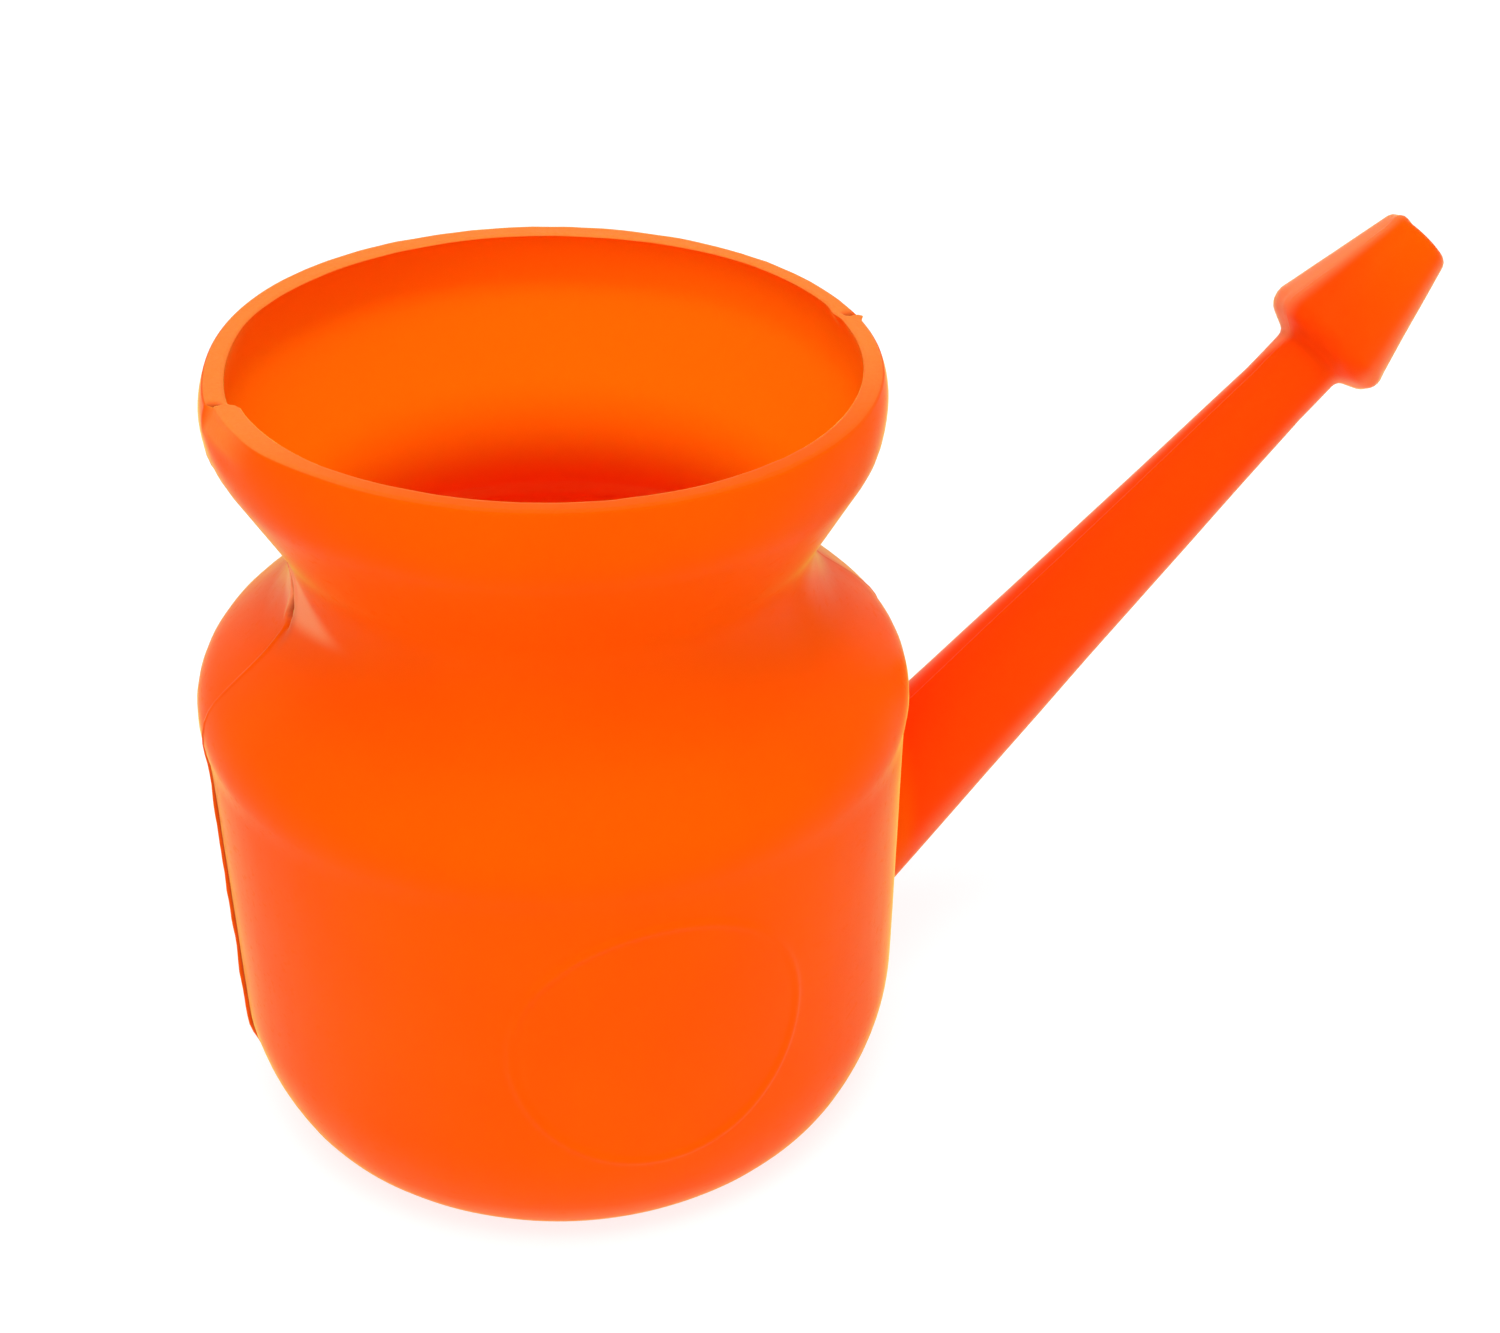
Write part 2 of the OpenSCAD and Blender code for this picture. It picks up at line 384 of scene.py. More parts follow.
class Wall:
    """The two faces of the pot's wall, with their marks, as points for a turn and a height."""

    # Stretches of height at the left end, as band takes them: where flash stands beside the
    # wall, where the fold takes the seam's place, where it is shut, and the wedge at its foot
    FLASH = mm(12, 16, 53, 64)
    SEAMLESS = mm(73, 75, 88, 92)
    FOLD = mm(75, 76.5, 83, 84.5)
    WEDGE = mm(72.5, 76.5, 77.5, 79.5)
    # The wedge across the fold, how far its lips lie beside it, and how far its marks reach
    FLANK = mm(-2.2, -0.1, -0.1, 0.3)
    LIP = 1.1 * MM
    FOLD_REACH = 4 * MM
    # Places of painted sheen: the height of the base's corner, the foot of the fan, its top, and
    # the tip from which it widens downwards
    CORNER = mm(0, 0.8, 3.5, 9.5)
    FAN_FOOT = mm(75.2, 77.6)
    FAN_TOP = mm(83.5, 85)
    FAN_TIP = 84 * MM
    # Rows are finest this far below the rim, and this near to the fold's middle
    FINE_RIM = 1 * MM
    FINE_FOLD = 6 * MM
    FOLD_MIDDLE = 78 * MM
    # Round from the spout, in degrees: where the knife slipped, outside and inside, and the
    # facet that it cut
    SLIP_START = -177.5
    SLIP_START_INSIDE = -176
    SLIP_END = -170
    FACET_AT = -167
    # Round from the spout, in degrees: where the mouth swells, and where it steps out
    SWELL_AT = 8
    STEP_AT = -170
    # Height of the small swelling on the right end of the shoulder
    SWELLING_Z = 69.5 * MM
    # Heights between which painted shade grows beside the parting seam, and between which this
    # fades again
    SHADED_FROM = mm(58, 62)
    SHADED_TO = mm(97, 100)

    def __init__(self, pot, marks):
        self.pot = pot
        self.marks = marks
        arcs = pot_outline(pot)
        self.side = [p for arc in arcs for p in arc.points()]
        dome = base_outline(pot, arcs[0].centre[0] - pot.stand)
        stand = [(p[0], 0.0, 0.0, -1.0) for p in (dome[-1], self.side[0])]
        self.stations = spaced(dome + stand + self.side, self.row_step)
        self.over_r, self.mouth_z = arcs[-1].centre

    def row_step(self, point):
        """Step to the next row, which is smallest near the rim and at the fold."""
        from_rim = max(0.0, self.pot.height - self.FINE_RIM - point[1])
        from_fold = max(0.0, abs(point[1] - self.FOLD_MIDDLE) - self.FINE_FOLD)
        return min(self.marks.step, 0.3 * MM + 0.14 * from_rim, 0.5 * MM + 0.25 * from_fold)

    def outline_at(self, z):
        """Radius of the true outline at a height on the pot's side, and its direction."""
        low, high = 0, len(self.side) - 1
        while high - low > 1:
            middle = (low + high) // 2
            if self.side[middle][1] < z:
                low = middle
            else:
                high = middle
        a, b = self.side[low], self.side[high]
        share = min(max((z - a[1]) / max(b[1] - a[1], 1e-9), 0.0), 1.0)
        r, _, nr, nz = part_way(a, b, share)
        return r, nr, nz

    def flash(self, x, z):
        """1 along the stretch of the left seam where flash stands beside the wall."""
        return 0.0 if x > 0 else band(self.FLASH, z)

    def seam_line(self, x, z):
        """How far the parting seam strays from the plane Y = 0, most above the flash."""
        stray = 0.14 * MM + 0.4 * MM * smooth(60 * MM, 64 * MM, z) * (x < 0)
        return stray * along_seam(x, z, 3.4 * MM, 2.2)

    def seam(self, x, y, z):
        """Height of the parting seam and its flash at a place on the outside."""
        marks = self.marks
        if abs(y) > 6 * marks.seam_width:
            return 0.0
        crest = marks.seam_height * (0.7 + 0.9 * along_seam(x, z, 4 * MM, 3.1))
        if x < 0:
            rough = 0.85 + 0.35 * wander((0, 0, z), 3 * MM, 8.3)
            crest += marks.flash_height * self.flash(x, z) * rough
            crest *= 1 - band(self.SEAMLESS, z)
            crest *= 1 - smooth(98 * MM, 101 * MM, z)
        return crest * hump(self.seam_line(x, z), marks.seam_width, y)

    def fold(self, z):
        """The pinched fold at the left end of the waist: where its crooked line runs, how far
        it is shut and how strong the wedge below it is."""
        crooked = 1.1 * MM * wander((0, 0, z), 3.2 * MM, 5.5)
        crooked += 0.9 * MM * wander((0, 0, z), 1.3 * MM, 11.8)
        return crooked, band(self.FOLD, z), band(self.WEDGE, z)

    def crease(self, x, y, z):
        """Depth of the fold and its wedge, less the height of its lips."""
        if x > 0 or abs(y) > self.FOLD_REACH:
            return 0.0
        crooked, shut, wedge = self.fold(z)
        line = shut * hump(crooked, 0.26 * MM, y)
        flank = band(self.FLANK, y)
        lips = shut * (hump(-self.LIP, 0.6 * MM, y) + hump(self.LIP, 0.6 * MM, y))
        return self.marks.crease_depth * (line + 0.4 * wedge * flank - 0.22 * lips)

    def slip(self, turn_at, start, fade):
        """1 along the stretch of the rim where the knife slipped. It begins at start, and fades
        over this many degrees past its end."""
        stretch = (start, start + 1.8, self.SLIP_END, self.SLIP_END + fade)
        return band([radians(angle) for angle in stretch], wrapped(turn_at))

    def paleness(self, turn_at, z):
        """How pale the outside is where it is shaved below the rim."""
        return 0.75 * self.slip(turn_at, self.SLIP_START, 12) * smooth(102.4 * MM, 103.2 * MM, z)

    def painted_sheen_at(self, turn_at, y, z):
        """How much painted sheen the outside has: a painted reflection fanned out below the fold,
        and another round the base's corner.
        """
        corner = 0.5 * band(self.CORNER, z)
        if cos(turn_at) > 0:
            return corner
        wide = 1.5 * MM + 2.6 * max(0.0, self.FAN_TIP - z)
        low = z - 0.2 * abs(y)
        fan = smooth(*self.FAN_FOOT, low) * (1 - smooth(*self.FAN_TOP, z))
        fan *= 1 - smooth(0.5 * wide, wide, abs(y))
        return max(corner, 0.75 * fan)

    def painted_shade_at(self, turn_at, y, z):
        """How much painted shade the outside has, in the fold and beside the seam and its flash."""
        x = cos(turn_at)
        broken = 0.5 + 0.8 * wander((0, 0, z), 2.5 * MM, 3.7)
        beside = self.seam_line(x, z) - 0.3 * MM
        seam = 0.3 * broken * smooth(*self.SHADED_FROM, z) * hump(beside, 0.22 * MM, y)
        seam *= 1 - smooth(*self.SHADED_TO, z)
        if x > 0:
            return seam
        crooked, shut, wedge = self.fold(z)
        line = 0.8 * shut * hump(crooked, 0.36 * MM, y)
        sliver = 0.2 * wedge * hump(-1.4 * MM, 1.0 * MM, y)
        foot = 0.75 * self.flash(x, z) * hump(-0.42 * MM, 0.24 * MM, y)
        return max(seam, line, sliver, foot)

    def out_of_round(self, turn_at, z):
        """How far the mouth's upper edge bulges: towards the spout, and at the fold's side."""
        share = smooth(97 * MM, 104.5 * MM, z)
        if share == 0:
            return 0.0
        towards = cos(turn_at - radians(self.SWELL_AT))
        swell = self.marks.swell * (max(0.0, towards) + 0.33 * min(0.0, towards))
        away = wrapped(turn_at - radians(self.STEP_AT))
        return share * (swell + self.marks.step_out * hump(0, radians(19), away))

    def from_ring(self, turn_at, z):
        """Distance along the wall from the raised ring's line."""
        across = wrapped(turn_at - self.marks.ring_turn)
        away = hypot(across * self.pot.body / 2, z - self.marks.ring_up)
        return away - self.marks.ring

    def ring_line(self, turn_at, z):
        """Height of the raised ring on the front of the wall."""
        return self.marks.line_height * hump(0, self.marks.line_width, self.from_ring(turn_at, z))

    def base_pinch(self, x, y):
        """The line that the closing mould pinched across the hollow of the base."""
        inside = 1 - smooth(24 * MM, 27 * MM, abs(x))
        return self.marks.pinch * inside * hump(0, 0.5 * MM, y)

    def outside(self, turn_at, r, z, nr, nz):
        """A point of the outer face at a place on the outline."""
        x, y = r * cos(turn_at), r * sin(turn_at)
        marks = self.marks
        even = smooth(0.3 * MM, 3 * MM, z)
        proud = marks.uneven * wander((x, y, z), 22 * MM, 1.3) * even
        proud += 0.3 * marks.uneven * wander((x, y, z), 7 * MM, 4.9) * even
        if nz < -0.9:
            proud += self.base_pinch(x, y)
        else:
            proud += self.seam(x, y, z) - self.crease(x, y, z)
            below = hump(102.2 * MM, 1.1 * MM, z)
            across = hump(radians(self.FACET_AT), radians(5), atan2(y, x))
            proud -= marks.facet * below * across
            slipped = self.slip(turn_at, self.SLIP_START, 14)
            proud -= marks.chamfer * (slipped * smooth(102.2 * MM, 105.4 * MM, z))
            proud += self.ring_line(turn_at, z)
            if x > 0:
                across = hump(0, 2.5 * MM, y)
                proud += 0.25 * MM * hump(self.SWELLING_Z, 2.5 * MM, z) * across
        r = r + nr * proud + self.out_of_round(turn_at, z)
        return Vector((r * cos(turn_at), r * sin(turn_at), max(z + nz * proud, 0.0)))

    def inside(self, turn_at, r, z, nr, nz):
        """A point of the inner face behind a place on the outline."""
        x, y = r * cos(turn_at), r * sin(turn_at)
        depth = self.pot.wall + 0.8 * self.marks.uneven * wander((x, y, z), 18 * MM, 6.2)
        # The wall grows thicker towards the rim at the back
        depth += 0.7 * MM * smooth(0.5, 0.95, sin(turn_at)) * smooth(94 * MM, 104 * MM, z)
        if z > self.mouth_z:
            drop = z - self.mouth_z
            r = self.over_r + sqrt((self.pot.mouth_over - depth) ** 2 - drop**2)
        else:
            r, z = max(r - nr * depth, 0.0), z - nz * depth
        r += self.out_of_round(turn_at, z)
        slipped = self.slip(turn_at, self.SLIP_START_INSIDE, 26)
        r -= self.marks.rim_step * slipped * smooth(100 * MM, 104 * MM, z)
        # A small lip inside the burr
        beside = hump(0.05, 0.04, wrapped(turn_at))
        r -= 0.35 * MM * beside * smooth(103 * MM, 105 * MM, z)
        return Vector((r * cos(turn_at), r * sin(turn_at), z))

    def outer_at(self, turn_at, z):
        """The outer face at a height."""
        r, nr, nz = self.outline_at(z)
        return self.outside(turn_at, r, z, nr, nz)

    def inner_at(self, turn_at, z):
        """The inner face at a height."""
        place = z
        for _ in range(4):
            r, nr, nz = self.outline_at(place)
            place = z + nz * self.pot.wall
        r, nr, nz = self.outline_at(place)
        return self.inside(turn_at, r, place, nr, nz)


def columns(pot, marks):
    """Angles of the wall's columns, close together at the parting seam."""
    radius = pot.body / 2
    arcs = [0.0]
    while arcs[-1] < radius * pi / 2:
        arcs.append(arcs[-1] + min(marks.step, 0.5 * marks.seam_width + 0.12 * arcs[-1]))
    quarter = [pi / 2 * arc / arcs[-1] for arc in arcs]
    right = [-a for a in reversed(quarter[1:])] + quarter
    left = [pi + a for a in right[1:-1]]
    return sorted(a % TAU for a in right + left)


# Spout


def sheen_bands(around, start):
    """How much painted sheen the spout has at an angle round it, which is 0 on top and grows
    towards +Y:
    along its back from start on, and below its front."""
    back = band((start, start + 0.4, 1.2, 1.7), around)
    below = band((1.6, 2.1, 2.7, 3.1), -around)
    return back + 0.7 * below


class SpoutLine:
    """The spout's slightly bent axis and its radius along it."""

    def __init__(self, pot, spout):
        self.spout = spout
        self.bend = spout.reach - spout.neck_run
        # The tube climbs less than the whole spout does, so its foot starts above the line
        lift = 0.8 * self.bend * tan(spout.sag)
        self.foot = Vector((pot.body / 2, 0, spout.foot + lift))
        self.climb = spout.climb - spout.sag

    def axis(self, s):
        """A point of the axis and the direction across it that lies upwards."""
        past = max(0.0, s - self.bend)
        bent = min(past, self.spout.bend_run)
        gained = self.spout.tilt * bent / self.spout.bend_run
        now = self.climb + gained
        halfway = self.climb + gained / 2
        place = self.foot + min(s, self.bend) * Vector((cos(self.climb), 0, sin(self.climb)))
        place += bent * Vector((cos(halfway), 0, sin(halfway)))
        place += (past - bent) * Vector((cos(now), 0, sin(now)))
        return place, Vector((-sin(now), 0, cos(now)))

    def point(self, s, radius, around):
        """A point at a radius from the axis. around is 0 on top and grows towards +Y."""
        place, up = self.axis(s)
        return place + radius * (cos(around) * up + sin(around) * Vector((0, 1, 0)))

    def radius(self, s):
        """Radius of the tube, which is a little slimmer in its middle than a straight taper."""
        share = min(s, self.bend) / self.bend
        straight = self.spout.root + (self.spout.neck - self.spout.root) * share
        return straight / 2 - self.spout.slim * sin(pi * min(max(share, 0.0), 1.0))

    def meets(self, face, thin, around):
        """Distance along the spout at which its skin passes through a face of the wall."""
        low, high = mm(-17, 19)
        for _ in range(30):
            s = (low + high) / 2
            place = self.point(s, self.radius(s) - thin, around)
            there = face(atan2(place.y, place.x), place.z)
            if hypot(place.x, place.y) < hypot(there.x, there.y):
                low = s
            else:
                high = s
        return (low + high) / 2


# Meshes


# The material's values: the inner face, paleness, painted sheen, and dark for painted shade
LAYERS = ("within", "pale", "strained", "dark")


class Skin:
    """A mesh in the making, grown ring by ring. Its points carry what the material goes by:
    whether they are within the pot, how pale the plastic is, and how much painted sheen and painted
    shade lie there."""

    def __init__(self):
        self.bm = bmesh.new()
        layers = self.bm.verts.layers.float
        self.layers = {name: layers.new(name) for name in LAYERS}

    def point(self, place, **marks):
        """A new point, with its values for the material."""
        vertex = self.bm.verts.new(place)
        for name, value in marks.items():
            vertex[self.layers[name]] = value
        return vertex

    def ring(self, points):
        """New points that carry no values."""
        return [self.point(p) for p in points]

    def face(self, corners):
        """A face on these corners, in which neighbours may be the same point."""
        self.bm.faces.new([c for k, c in enumerate(corners) if c not in corners[:k]])

    def join(self, first, second):
        """Quads between two closed rings of equal count."""
        for i, corner in enumerate(first):
            k = (i + 1) % len(first)
            self.face([corner, first[k], second[k], second[i]])

    def grow(self, rings):
        """Joins each ring to the next."""
        for first, second in zip(rings, rings[1:]):
            self.join(first, second)

    def finished(self, name):
        """The mesh as an object of the scene."""
        bmesh.ops.recalc_face_normals(self.bm, faces=self.bm.faces)
        for face in self.bm.faces:
            face.smooth = True
        mesh = bpy.data.meshes.new(name)
        self.bm.to_mesh(mesh)
        self.bm.free()
        piece = bpy.data.objects.new(name, mesh)
        bpy.context.scene.collection.objects.link(piece)
        return piece


class Moulding:
    """The whole pot as one closed skin: two faces of the wall, the cut rim and the spout."""

    # The opening in the wall for the spout's root: half its width, its foot and its top
    OPENING = mm(14.6, 10.5, 48.5)
    # Distance from the raised ring's line within which faces are made smaller, and within which
    # points are set on the wall again
    FINE_RING = 1.9 * MM
    RESET_RING = 4 * MM
    # Rings of the cut rim, as shares of the way from its outer edge to its inner edge
    RIM_RINGS = (0.03, 0.1, 0.25, 0.42, 0.58, 0.75, 0.9, 0.97)
    # How far from the plane Y = 0 the rim has its nick, its notch and its burr
    NICK_Y, NOTCH_Y, BURR_Y = mm(-2, 0.9, -0.4)
    # The tube's rings have turned square to its axis at this distance along it
    SQUARE_AT = 24 * MM

    def __init__(self, pot, spout, marks):
        self.pot = pot
        self.spout = spout
        self.marks = marks
        self.skin = Skin()
        self.wall = Wall(pot, marks)
        self.line = SpoutLine(pot, spout)
        self.turns = columns(pot, marks)
        self.find_window()
        self.outer = self.grid(self.outer_point)
        self.inner = self.grid(self.inner_point)
        self.cut_rim()
        self.add_spout()
        self.refine_ring()

    def find_window(self):
        """Columns and rows of the wall that make room for the spout's root."""
        half, low, high = self.OPENING
        reach = half / (self.pot.body / 2)
        right = [i for i, t in enumerate(self.turns) if t < reach]
        left = [i for i, t in enumerate(self.turns) if t > TAU - reach]
        self.cols = left + right
        stations = self.wall.stations
        # A direction that points this far outwards is on the pot's side and not on its base
        self.rows = [j for j, p in enumerate(stations) if p[2] > 0.3 and low < p[1] < high]

    def outer_point(self, turn_at, *station):
        """A new point of the outer face, with how pale it is and how much painted sheen and painted
        shade it has.
        """
        place = self.wall.outside(turn_at, *station)
        return self.skin.point(
            place,
            pale=self.wall.paleness(turn_at, place.z),
            strained=self.wall.painted_sheen_at(turn_at, place.y, place.z),
            dark=self.wall.painted_shade_at(turn_at, place.y, place.z),
        )

    def inner_point(self, turn_at, *station):
        """A new point of the inner face."""
        return self.skin.point(self.wall.inside(turn_at, *station), within=1.0)

    def grid(self, point_at):
        """One face of the wall, with an opening where the spout joins it."""
        count = len(self.turns)
        empty = {(j, i) for j in self.rows[1:-1] for i in self.cols[1:-1]}
        centre = point_at(0.0, *self.wall.stations[0])
        rows = [[centre] * count]
        for j, station in enumerate(self.wall.stations[1:], 1):
            row = [None] * count
            for i, turn_at in enumerate(self.turns):
                if (j, i) not in empty:
                    row[i] = point_at(turn_at, *station)
            rows.append(row)
        opening = {(j, i) for j in self.rows[:-1] for i in self.cols[:-1]}
        for j in range(len(rows) - 1):
            for i in range(count):
                if (j, i) not in opening:
                    k = (i + 1) % count
                    self.skin.face([rows[j][i], rows[j][k], rows[j + 1][k], rows[j + 1][i]])
        return rows

    def by_ring(self, place, reach):
        """Whether a place is on the front of the wall and this near to the ring's line."""
        away = self.wall.from_ring(atan2(place.y, place.x), place.z)
        return place.y < 0 and abs(away) < reach

    def refine_ring(self):
        """Smaller faces along the raised ring, with their points set on the true wall."""
        bm, within = self.skin.bm, self.skin.layers["within"]
        edges = set()
        for face in bm.faces:
            middle = face.calc_center_median()
            if face.verts[0][within] == 0 and self.by_ring(middle, self.FINE_RING):
                edges.update(face.edges)
        bmesh.ops.subdivide_edges(bm, edges=list(edges), cuts=3, use_grid_fill=True)
        for vertex in bm.verts:
            if vertex[within] == 0 and self.by_ring(vertex.co, self.RESET_RING):
                vertex.co = self.wall.outer_at(atan2(vertex.co.y, vertex.co.x), vertex.co.z)

    def cut_rim(self):
        """The knife-cut rim between the two faces, with softened edges, its nick on the left, and
        its notch and burr on the right. It is palest from the middle to the back, a painted
        reflection, and painted shade darkens its nick and notch."""
        marks = self.marks
        top = self.pot.height
        outer, inner = self.outer[-1], self.inner[-1]
        for vertex in outer + inner:
            vertex.co.z = top - marks.rim_edge
        rings = [outer]
        for share in self.RIM_RINGS:
            ring = []
            for a, b in zip(outer, inner):
                place = a.co.lerp(b.co, share)
                place.z = top - marks.rim_edge * (1 - smooth(0, 0.12, min(share, 1 - share)))
                place.z += 0.07 * MM * wander(place, 2.5 * MM, 7.7)
                cut = 1 - smooth(0.5, 0.65, share)
                if place.x < 0:
                    cut *= hump(self.NICK_Y, 0.42 * MM, place.y)
                else:
                    cut *= 0.8 * hump(self.NOTCH_Y, 0.6 * MM, place.y)
                place.z -= marks.nick * cut
                # The rim's paleness, growing from front to back, is a painted reflection on the
                # paler cut
                pale = 0.1 + 0.9 * smooth(-35 * MM, -4 * MM, place.y)
                # The nick and notch are painted dark, as painted shade
                ring.append(self.skin.point(place, pale=pale, dark=cut))
            rings.append(ring)
        rings.append(inner)
        self.skin.grow(rings)
        # The burr sticks out of the outer edge and takes the next two rings along
        for ring, share in zip(rings, (1.0, 0.9, 0.5)):
            for vertex in ring:
                if vertex.co.x > 0:
                    spike = share * hump(self.BURR_Y, 0.6 * MM, vertex.co.y)
                    vertex.co.x += marks.burr * spike
                    vertex.co.z += 0.3 * marks.burr * spike

    def perimeter(self, rows):
        """Points round the opening, from the middle of its top edge towards +Y and round."""
        cols, side = self.cols, self.rows
        middle = cols.index(0)
        places = [(side[-1], c) for c in cols[middle:]]
        places += [(r, cols[-1]) for r in reversed(side[:-1])]
        places += [(side[0], c) for c in reversed(cols[:-1])]
        places += [(r, cols[0]) for r in side[1:]]
        places += [(side[-1], c) for c in cols[1:middle]]
        return [rows[r][c] for r, c in places]

    def root(self, rows, face, thin, count):
        """Fills the opening in one face from its rim to the spout, and rounds the corner
        there. Returns the last ring, on the spout, and how far along the spout it is."""
        line, blend = self.line, self.spout.blend
        rim = self.perimeter(rows)
        starts = [line.meets(face, thin, a) for a in self.around]
        corners = [line.point(s, line.radius(s) - thin, a) for s, a in zip(starts, self.around)]
        rings = [rim]
        # Along the wall, closer together towards the spout
        for k in range(count - 1, -1, -1):
            points = []
            for vertex, corner in zip(rim, corners):
                out_turn, out_z = atan2(vertex.co.y, vertex.co.x), vertex.co.z
                turn_at, z = atan2(corner.y, corner.x), corner.z
                radius = hypot(corner.x, corner.y)
                along = Vector(((out_turn - turn_at) * radius, out_z - z))
                share = (k / count) ** 1.2
                start = min(blend / along.length, 1.0)
                share = start + (1 - start) * share
                points.append(face(turn_at + share * (out_turn - turn_at), z + share * (out_z - z)))
            rings.append(self.skin.ring(points))
        # Over the rounded corner, which leaves the wall at its foot and meets the spout on top
        feet = [vertex.co.copy() for vertex in rings[-1]]
        ends = [s + blend for s in starts]
        tops = [line.point(s, line.radius(s) - thin, a) for s, a in zip(ends, self.around)]
        for t in (0.17, 0.34, 0.5, 0.66, 0.83, 1.0):
            points = [
                (1 - t) ** 2 * foot + 2 * t * (1 - t) * corner + t * t * top
                for foot, corner, top in zip(feet, corners, tops)
            ]
            rings.append(self.skin.ring(points))
        self.skin.grow(rings)
        return rings[-1], ends

    def add_spout(self):
        """Spout and nose piece outside, then the outlet and the passage back to the pot."""
        half_wide = self.spout.root / 2
        half_high = half_wide / cos(self.spout.climb)
        self.around = []
        for vertex in self.perimeter(self.outer):
            up = (vertex.co.z - self.line.foot.z) / half_high
            self.around.append(atan2(vertex.co.y / half_wide, up))
        last, ends = self.root(self.outer, self.wall.outer_at, 0.0, 9)
        rings = [last] + self.tube_rings(ends) + self.nose_rings() + self.outlet_rings()
        foot, ends = self.root(self.inner, self.wall.inner_at, self.spout.wall, 6)
        self.skin.grow(rings + self.passage_rings(ends) + [foot])

    def spout_seam(self, around, radius):
        """Height of the parting seam on top of the spout and below it."""
        return self.marks.seam_height * hump(0, self.marks.seam_width, radius * sin(around))

    def even_ring(self, s, radius):
        """A true circle round the spout's axis."""
        return self.skin.ring([self.line.point(s, radius, a) for a in self.around])

    def tube_ring(self, stops, fade):
        """A ring of the tube's outside, through these distances along its axis. fade says how
        far its seam and unevenness have grown."""
        line = self.line
        points = []
        for s, around in zip(stops, self.around):
            radius = line.radius(s)
            uneven = 0.5 * self.marks.uneven * wander(line.point(s, radius, around), 12 * MM, 9.1)
            radius += fade * (self.spout_seam(around, radius) + uneven)
            place = line.point(s, radius, around)
            # Painted sheen along the tube's back and below its front
            points.append(self.skin.point(place, strained=0.4 * fade * sheen_bands(around, 0.15)))
        return points

    def tube_rings(self, ends, turning=16):
        """The tube's outside: rings that turn square to the axis, then even ones."""
        rings = []
        square_at, bend = self.SQUARE_AT, self.line.bend
        for k in range(1, turning + 1):
            share = k / turning
            stops = [s + (square_at - s) * share for s in ends]
            rings.append(self.tube_ring(stops, min(1.0, 3 * share)))
        count = int((bend - square_at) / (1.3 * MM))
        for k in range(1, count + 1):
            s = square_at + (bend - square_at) * k / count
            rings.append(self.tube_ring([s] * len(self.around), 1.0))
        return rings

    def nose_rings(self):
        """The neck's and the nose piece's outside: its back edge is lumpy, its seam broken, and
        a bump sits on top of its front edge."""
        spout, line = self.spout, self.line
        lip = spout.reach + spout.nose_run
        outline = [(spout.neck / 2, line.bend, 1.0, 0.0)]
        for arc in nose_outline(spout):
            outline += arc.points(0, 0.1 * MM)
        outline.append((spout.outlet / 2 + 0.3 * MM, lip, 0.0, 1.0))
        rings = []
        for radius, s, nr, ns in spaced(outline, lambda p: 0.55 * MM)[1:]:
            back = hump(spout.reach + 3 * MM, 1.6 * MM, s)
            front = hump(lip - 0.8 * MM, 1.2 * MM, s)
            share = smooth(line.bend, spout.reach + 2 * MM, s)
            points = []
            for around in self.around:
                place = line.point(s, radius, around)
                broken = smooth(-0.15, 0.25, wander(place, 5 * MM, 14.2))
                proud = self.spout_seam(around, radius) * smooth(3 * MM, 5 * MM, radius) * broken
                proud += 0.36 * MM * back * wander(place, 2.2 * MM, 12.4)
                proud += 0.35 * self.marks.uneven * wander(place, 6 * MM, 10.7)
                proud += 0.4 * MM * front * hump(0, 0.16, around)
                place = line.point(s + ns * proud, radius + nr * proud, around)
                # Painted sheen on the nose piece's back and below its front
                whitened = (0.4 + 0.2 * share) * sheen_bands(around, 0.15 - 0.4 * share)
                points.append(self.skin.point(place, strained=whitened))
            rings.append(points)
        return rings

    def outlet_rings(self):
        """The outlet, and the hollow of the nose piece back to the neck."""
        spout = self.spout
        hole = spout.outlet / 2
        lip = spout.reach + spout.nose_run
        within = lip - spout.wall
        rings = [
            self.even_ring(lip - 0.05 * MM, hole + 0.1 * MM),
            self.even_ring(lip - 0.3 * MM, hole),
            self.even_ring(within + 0.2 * MM, hole),
            self.even_ring(within, hole + 0.2 * MM),
        ]
        front = spout.tip / 2 - spout.wall
        hollow = [(spout.neck / 2 - spout.wall, self.line.bend, 1.0, 0.0)]
        for arc in nose_outline(spout)[:2]:
            hollow += arc.points(spout.wall, 0.2 * MM)
        hollow.append((front, within - 0.3 * MM, 1.0, 0.0))
        hollow.append((front - 0.3 * MM, within, 0.0, 1.0))
        for radius, s, nr, ns in reversed(spaced(hollow, lambda p: 1.1 * MM)):
            rings.append(self.even_ring(s, radius))
        return rings

    def passage_rings(self, ends, count=24):
        """The passage from the neck back to the pot's inner face."""
        line = self.line
        rings = []
        for k in range(1, count):
            points = []
            for end, around in zip(ends, self.around):
                s = line.bend + (end - line.bend) * k / count
                points.append(line.point(s, line.radius(s) - self.spout.wall, around))
            rings.append(self.skin.ring(points))
        return rings


# Materials


class Socket:
    """A shader socket, or a number, that takes part in plain arithmetic."""

    def __init__(self, tree, value):
        self.tree = tree
        self.value = value

    def maths(self, operation, *others):
        """This value and others put through one Math node."""
        inputs = [self.value] + [o.value if isinstance(o, Socket) else o for o in others]
        return self.tree.add("ShaderNodeMath", {"operation": operation}, dict(enumerate(inputs)))

    def __add__(self, other):
        return self.maths("ADD", other)

    def __sub__(self, other):
        return self.maths("SUBTRACT", other)

    def __mul__(self, other):
        return self.maths("MULTIPLY", other)

    def __rsub__(self, other):
        return Socket(self.tree, other).maths("SUBTRACT", self)

    __radd__ = __add__
    __rmul__ = __mul__

    def between(self, low, high):
        """0 where the value is low, 1 where it is high and a smooth turn between."""
        settings = {"interpolation_type": "SMOOTHSTEP"}
        return self.tree.add("ShaderNodeMapRange", settings, {0: self.value, 1: low, 2: high})


